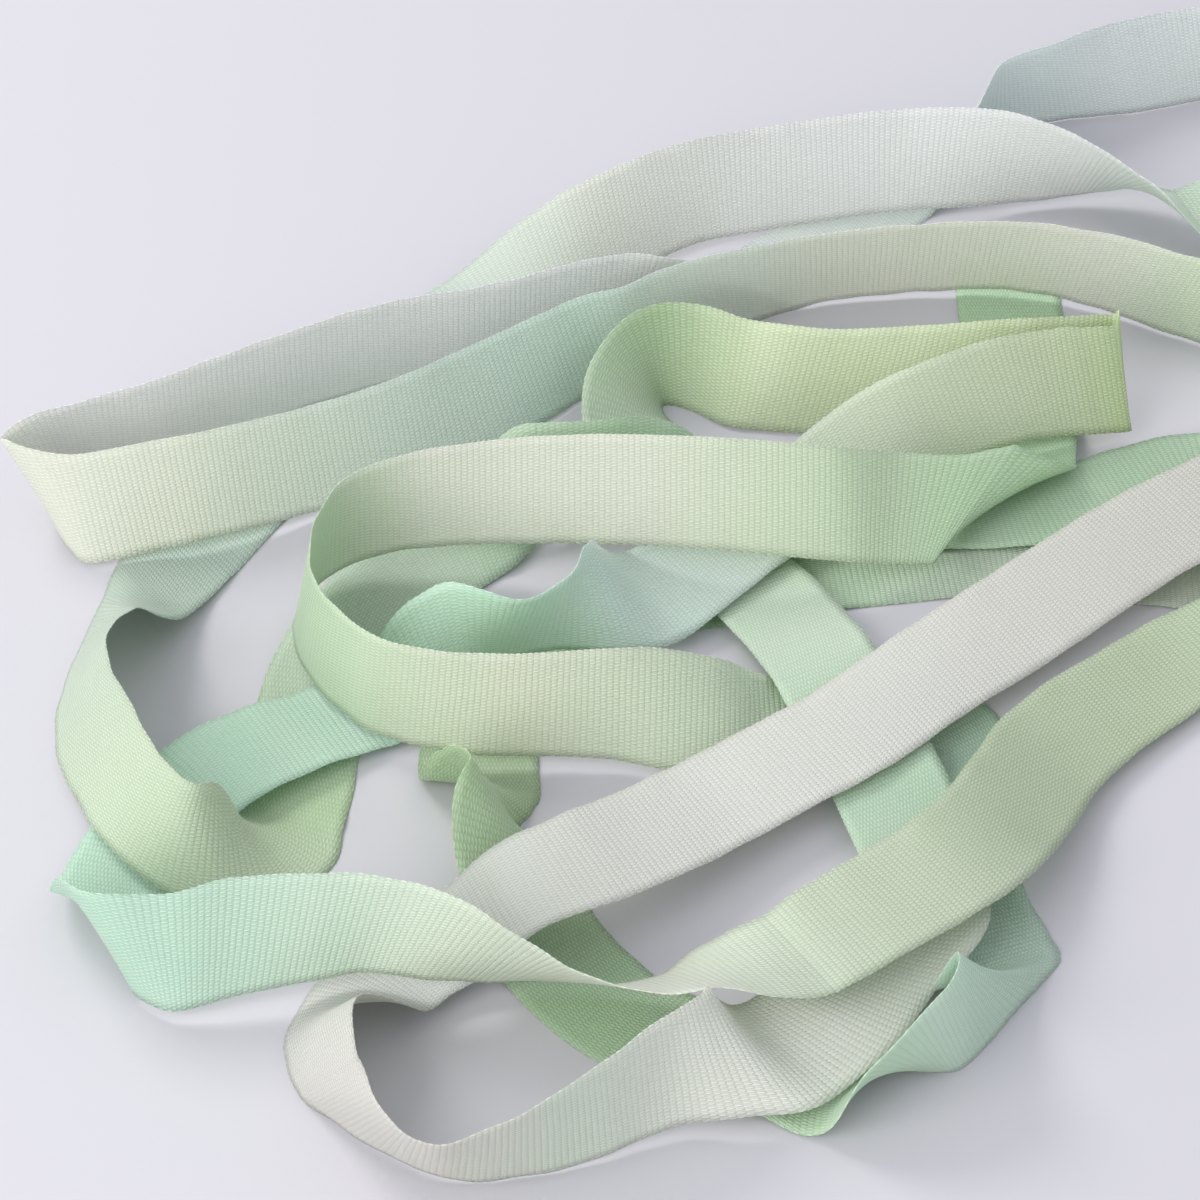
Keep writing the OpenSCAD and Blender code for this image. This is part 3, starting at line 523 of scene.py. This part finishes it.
EYELET = Vector((0.271, 0.255, 0.0105))     # centre of the eyelet
EYELET_CUT = 0.0042         # radius of the hole in the cloth, under the eyelet's flange
HEM_LENGTH = 0.008          # cloth folded over at the free end
TAB_LENGTH = 0.034          # second layer of cloth at the wand's end
TAB_INSET = 0.001           # how far the sewn layers stay inside each selvedge
THREAD_R = 0.0002           # radius of the sewing thread
STITCH_RISE = 0.0003        # how far the middle of a stitch rises over its ends
STITCH_SINK = 0.0001        # how far its ends dip into the cloth


def cut_eyelet(obj, radius):
    """Open a round hole for the eyelet in a strip of cloth."""
    mesh = bmesh.new()
    mesh.from_mesh(obj.data)
    near = [f for f in mesh.faces if (f.calc_center_median() - EYELET).length < 2 * radius]
    edges = {e for f in near for e in f.edges}
    bmesh.ops.subdivide_edges(mesh, edges=list(edges), cuts=5, use_grid_fill=True)
    inside = [f for f in mesh.faces if (f.calc_center_median() - EYELET).length < radius]
    bmesh.ops.delete(mesh, geom=inside, context="FACES")
    mesh.to_mesh(obj.data)
    mesh.free()


def strip(name, start, end, inset=0.0, lift=0.0):
    """The ribbon's cloth between two distances along it, as a piece of the ribbon's body."""
    distance = np.append(np.arange(start, end, WEFT / 2), end)
    obj = cloth(name, at_length(distance), distance, inset, lift)
    obj.data.materials.append(silk)
    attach(obj, "ribbon")
    return obj


def thread(points, faces, path, radius, sides=7):
    """Add a round thread along a path of points to the lists of a mesh."""
    path = [Vector(p) for p in path]
    first = len(points)
    for k, place in enumerate(path):
        forward = (path[min(k + 1, len(path) - 1)] - path[max(k - 1, 0)]).normalized()
        side = forward.cross(Vector((0, 0, 1))).normalized()
        up = side.cross(forward)
        for m in range(sides):
            a = 2 * math.pi * m / sides
            points.append(place + radius * (math.cos(a) * side + math.sin(a) * up))
    for k in range(len(path) - 1):
        for m in range(sides):
            a, b = first + k * sides + m, first + k * sides + (m + 1) % sides
            faces.append((a, b, b + sides, a + sides))
    faces.append(tuple(first + m for m in reversed(range(sides))))
    faces.append(tuple(first + (len(path) - 1) * sides + m for m in range(sides)))


def seams(name, distances, lift, count=12, margin=0.002):
    """Rows of stitches across the ribbon; each stitch rises out of the cloth and dips back in."""
    points, faces = [], []
    pitch = (WIDTH - 2 * margin) / count
    for distance in distances:
        near = sweep(at_length(distance + np.array([-0.001, 0, 0.001])))
        middle, across, normal = near[0][1], near[1][1], near[3][1]
        up = normal * math.copysign(1, normal[2])
        for k in range(count):
            start = (k - count / 2 + 0.15) * pitch
            path = []
            for t in np.linspace(0, 1, 7):
                rise = lift + STITCH_RISE * math.sin(math.pi * t) - STITCH_SINK
                path.append(middle + (start + 0.7 * pitch * t) * across + rise * up + SHIFT)
            thread(points, faces, path, THREAD_R)
    mesh = bpy.data.meshes.new(name)
    mesh.from_pydata([tuple(p) for p in points], [], faces)
    mesh.shade_smooth()
    mesh.materials.append(thread_finish)
    obj = bpy.data.objects.new(name, mesh)
    bpy.context.scene.collection.objects.link(obj)
    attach(obj, "ribbon")
    return obj


ribbon = strip("ribbon_cloth", 0, RIBBON_LENGTH)
cut_eyelet(ribbon, EYELET_CUT)
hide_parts("ribbon")
hem_up, tab_up = (math.copysign(CLOTH_T, fine_normal[k][2]) for k in (0, -1))
hem = strip("hem_fold", 0, HEM_LENGTH, TAB_INSET, hem_up)
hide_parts("free_end_hem")
tab = strip("end_layer", RIBBON_LENGTH - TAB_LENGTH, RIBBON_LENGTH, TAB_INSET, tab_up)
cut_eyelet(tab, EYELET_CUT)
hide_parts("end_reinforcement")
hem_seam = seams("hem_stitches", [HEM_LENGTH - 0.0015], 2 * CLOTH_T)
tab_rows = [RIBBON_LENGTH - d for d in (0.0015, 0.003, 0.0185)]
tab_seams = seams("end_stitches", tab_rows, 2 * CLOTH_T)
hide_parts("end_stitching")

# --- Grip ------------------------------------------------------------------------------

GRIP_R = 0.0105             # radius of the soft grip
AXIS = Vector((0.271, 0, 0.0105))           # the wand's axis


def turned(name, profile, material, node):
    """A piece turned round the wand's axis, from (y, radius) pairs of its profile."""
    sides = 96
    points = [(AXIS.x + r * math.cos(2 * math.pi * k / sides), y,
               AXIS.z + r * math.sin(2 * math.pi * k / sides))
              for y, r in profile for k in range(sides)]
    faces = [(i * sides + k, i * sides + (k + 1) % sides, (i + 1) * sides + (k + 1) % sides,
              (i + 1) * sides + k) for i in range(len(profile) - 1) for k in range(sides)]
    mesh = bpy.data.meshes.new(name)
    mesh.from_pydata(points, [], faces)
    mesh.shade_smooth()
    mesh.materials.append(material)
    obj = bpy.data.objects.new(name, mesh)
    bpy.context.scene.collection.objects.link(obj)
    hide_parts(node)
    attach(obj, "stick")


def round_edge(y, r, radius, toward, steps=6):
    """Profile of a rounded edge at the end y of a cylinder of radius r."""
    turn = [math.pi / 2 * k / steps for k in range(steps + 1)]
    return [(y + toward * radius * (1 - math.sin(a)), r - radius * (1 - math.cos(math.pi / 2 - a)))
            for a in turn]


SLEEVE_START, SLEEVE_END = -0.1588, -0.3308
CAP_END = -0.3448
GROOVES = 9
GROOVE_D = 0.0008           # depth of a groove
SLEEVE_EDGE, CAP_EDGE = 0.0012, 0.004       # radii of the rounded edges
sleeve = round_edge(SLEEVE_START, GRIP_R, SLEEVE_EDGE, -1)
groove_pitch = (SLEEVE_START - SLEEVE_END) / (GROOVES + 1)
for k in range(1, GROOVES + 1):
    middle = SLEEVE_START - k * groove_pitch - 0.001
    for t in np.linspace(-1, 1, 13):
        sleeve.append((middle - 0.0016 * t, GRIP_R - GROOVE_D * math.cos(math.pi / 2 * t) ** 2))
sleeve += round_edge(SLEEVE_END, GRIP_R, SLEEVE_EDGE, 1)[::-1]
turned("grip_foam", sleeve, foam, "grip_sleeve")
cap = [(SLEEVE_END, 0.004), (SLEEVE_END, GRIP_R - 0.0003), (SLEEVE_END - 0.0003, GRIP_R)]
cap += round_edge(CAP_END, GRIP_R, CAP_EDGE, 1)[::-1] + [(CAP_END, 0.003), (CAP_END + 0.0006, 0.0022)]
cap += [(CAP_END + 0.0006, 0.00001)]
turned("butt_dome", cap, cap_finish, "butt_cap")

# --- Carried-over pieces ---------------------------------------------------------------

for node in ("eyelet", "eyelet_washer"):
    repaint(node, brass)
for node in ("link_ring", "gate_pin", "gate_spring", "swivel_stud"):
    repaint(node, steel)
for node in ("snap_hook", "hook_gate", "swivel_collar"):
    repaint(node, hook_finish)
repaint("grip_collar", cap_finish)
repaint("thrust_washer", nylon)
repaint("tip_ferrule", ferrule_finish)
repaint("stick_rod", rod_material())

# --- Floor and light -------------------------------------------------------------------

def area_light(name, place, size, power, colour):
    lamp = bpy.data.lights.new(name, "AREA")
    lamp.shape = "DISK"
    lamp.size = size
    lamp.energy = power
    lamp.color = colour
    obj = bpy.data.objects.new(name, lamp)
    obj.location = aim + Vector(place)
    obj.rotation_euler = (-Vector(place)).to_track_quat("-Z", "Y").to_euler()
    bpy.context.scene.collection.objects.link(obj)


area_light("key", (-1.3, 1.2, 1.7), 1.1, 27, (1.0, 0.985, 0.96))
area_light("fill", (-1.3, -1.4, 1.0), 1.8, 36, (1.0, 0.99, 0.985))
sky = bpy.data.worlds.new("studio")
sky.use_nodes = True
sky.node_tree.nodes["Background"].inputs[0].default_value = (0.90, 0.91, 1.0, 1)
sky.node_tree.nodes["Background"].inputs[1].default_value = 0.86
bpy.context.scene.world = sky
bpy.context.scene.view_settings.view_transform = "Standard"

floor_mesh = bpy.data.meshes.new("floor")
floor_mesh.from_pydata([(-6, -6, 0), (6, -6, 0), (6, 6, 0), (-6, 6, 0)], [], [(0, 1, 2, 3)])
floor = bpy.data.objects.new("floor", floor_mesh)
bpy.context.scene.collection.objects.link(floor)
paper = Graph("paper")
paper.set(Base_Color=(0.535, 0.528, 0.552, 1), Roughness=0.9,
          Normal=paper.bump(paper.noise(700, 2), 0.0002, 0.1))
floor_mesh.materials.append(paper.material)
